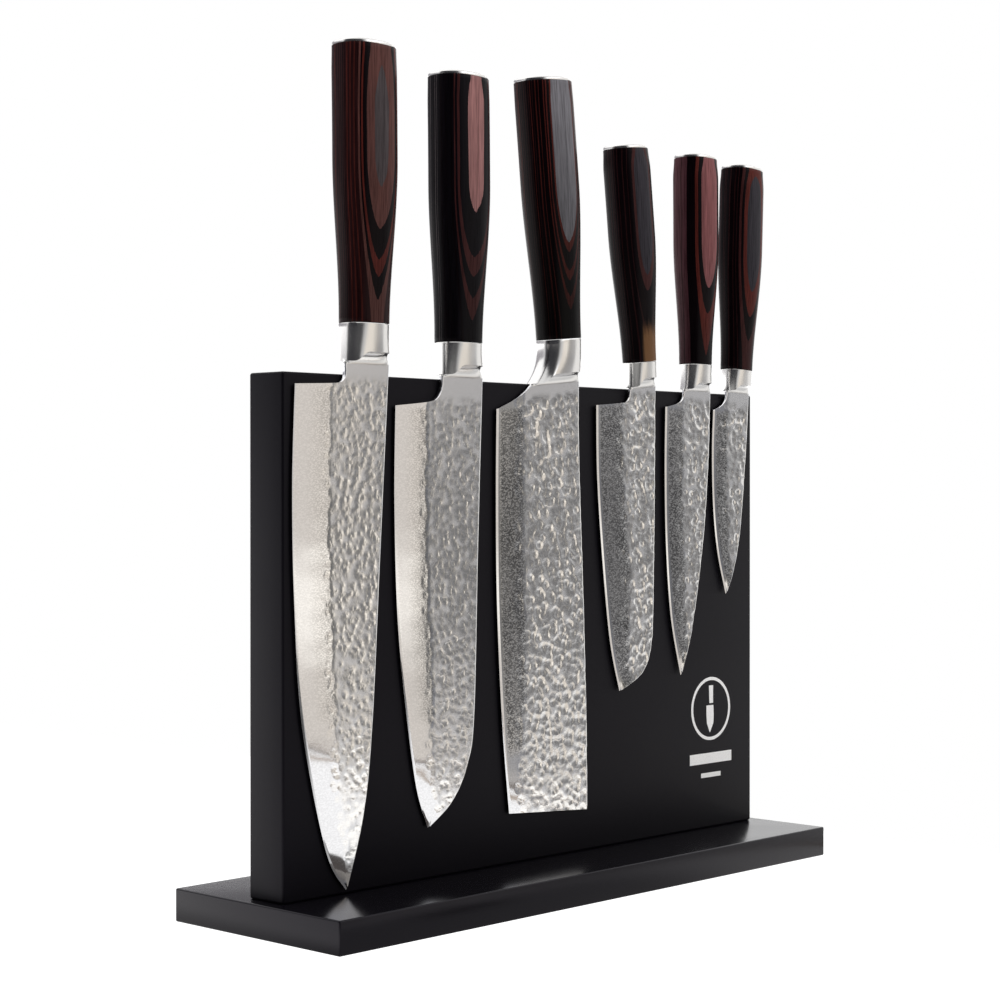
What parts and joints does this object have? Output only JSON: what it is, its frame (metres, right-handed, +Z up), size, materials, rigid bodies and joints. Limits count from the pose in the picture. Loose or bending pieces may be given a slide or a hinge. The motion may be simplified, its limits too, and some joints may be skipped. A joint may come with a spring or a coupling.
{
  "type": "magnetic knife block with knives",
  "caption": "Free-standing black magnetic board on a base plate, holding kitchen knives with hammered blades, steel bolsters and laminated wood handles.",
  "frame": {"origin": "middle of the base on the resting surface, under the feet", "axes": "+Z up, the knives hang on the -Y face of the board, their spines point to +X"},
  "size_m": [0.312, 0.098, 0.3558],
  "materials": {
    "lacquered_wood": "black satin lacquer",
    "magnet": "nickel plated",
    "screw_steel": "zinc plated",
    "dowel_wood": "raw beech",
    "foot_rubber": "matte",
    "blade_steel": "hammered and layered, polished dimples",
    "polished_steel": "polished",
    "laminated_wood": "red-brown and charcoal veneers, satin varnish"
  },
  "bodies": {
    "block": {"base_plate": "lacquered_wood", "front_panel": "lacquered_wood", "rear_panel": "lacquered_wood", "magnet_lower_1": "magnet", "magnet_lower_2": "magnet", "magnet_lower_3": "magnet", "magnet_lower_4": "magnet", "magnet_lower_5": "magnet", "magnet_lower_6": "magnet", "magnet_upper_1": "magnet", "magnet_upper_2": "magnet", "magnet_upper_3": "magnet", "magnet_upper_4": "magnet", "magnet_upper_5": "magnet", "magnet_upper_6": "magnet", "base_screw_left": "screw_steel", "base_screw_middle": "screw_steel", "base_screw_right": "screw_steel", "dowel_left": "dowel_wood", "dowel_right": "dowel_wood", "foot_front_left": "foot_rubber", "foot_front_right": "foot_rubber", "foot_rear_left": "foot_rubber", "foot_rear_right": "foot_rubber"},
    "chef_knife": {"chef_blade": "blade_steel", "chef_bolster": "polished_steel", "chef_handle": "laminated_wood", "chef_end_cap": "polished_steel"},
    "santoku_knife": {"santoku_blade": "blade_steel", "santoku_bolster": "polished_steel", "santoku_handle": "laminated_wood", "santoku_end_cap": "polished_steel"},
    "cleaver_knife": {"cleaver_blade": "blade_steel", "cleaver_bolster": "polished_steel", "cleaver_handle": "laminated_wood", "cleaver_end_cap": "polished_steel"},
    "small_santoku_knife": {"small_santoku_blade": "blade_steel", "small_santoku_bolster": "polished_steel", "small_santoku_handle": "laminated_wood", "small_santoku_end_cap": "polished_steel"},
    "utility_knife": {"utility_blade": "blade_steel", "utility_bolster": "polished_steel", "utility_handle": "laminated_wood", "utility_end_cap": "polished_steel"},
    "paring_knife": {"paring_blade": "blade_steel", "paring_bolster": "polished_steel", "paring_handle": "laminated_wood", "paring_end_cap": "polished_steel"}
  },
  "joints": [
    {"name": "chef_knife_pull", "type": "slide", "parent": "block", "child": "chef_knife", "axis": [0, -1, 0], "range_m": [0, 0.1]},
    {"name": "santoku_knife_pull", "type": "slide", "parent": "block", "child": "santoku_knife", "axis": [0, -1, 0], "range_m": [0, 0.1]},
    {"name": "cleaver_knife_pull", "type": "slide", "parent": "block", "child": "cleaver_knife", "axis": [0, -1, 0], "range_m": [0, 0.1]},
    {"name": "small_santoku_knife_pull", "type": "slide", "parent": "block", "child": "small_santoku_knife", "axis": [0, -1, 0], "range_m": [0, 0.1]},
    {"name": "utility_knife_pull", "type": "slide", "parent": "block", "child": "utility_knife", "axis": [0, -1, 0], "range_m": [0, 0.1]},
    {"name": "paring_knife_pull", "type": "slide", "parent": "block", "child": "paring_knife", "axis": [0, -1, 0], "range_m": [0, 0.1]}
  ]
}
